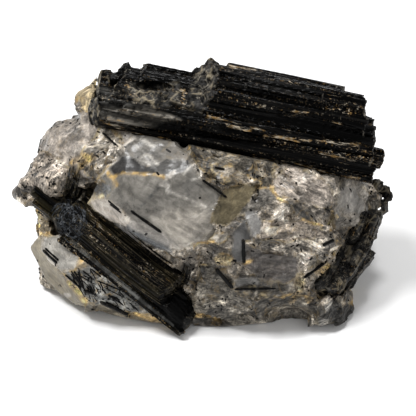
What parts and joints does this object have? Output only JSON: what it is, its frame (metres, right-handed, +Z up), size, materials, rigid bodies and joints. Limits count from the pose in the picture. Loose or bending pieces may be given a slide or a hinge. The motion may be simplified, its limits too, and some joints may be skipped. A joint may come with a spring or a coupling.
{
  "type": "tourmalinated quartz specimen",
  "caption": "Hand specimen of cloudy, iron-stained quartz grown round black striated tourmaline crystals, resting on its flat underside.",
  "frame": {"origin": "Bottom centre of the bounding box, on the flat underside.", "axes": "+X is to the right along the longest extent, -Y is the front with the clear window and the slanting bundle, +Z is up with the thick black crystal group on top."},
  "size_m": [0.1024, 0.0572, 0.0592],
  "materials": {
    "quartz": "broken, cloudy to clear, glossy on its fresh faces and matt on its stained crust",
    "tourmaline": "glossy black with fine lengthwise ridges, matt where it is broken across"
  },
  "bodies": {
    "root": {"quartz": "quartz", "main_tourmaline": "tourmaline", "lower_tourmaline": "tourmaline", "right_tourmaline": "tourmaline"}
  },
  "joints": []
}
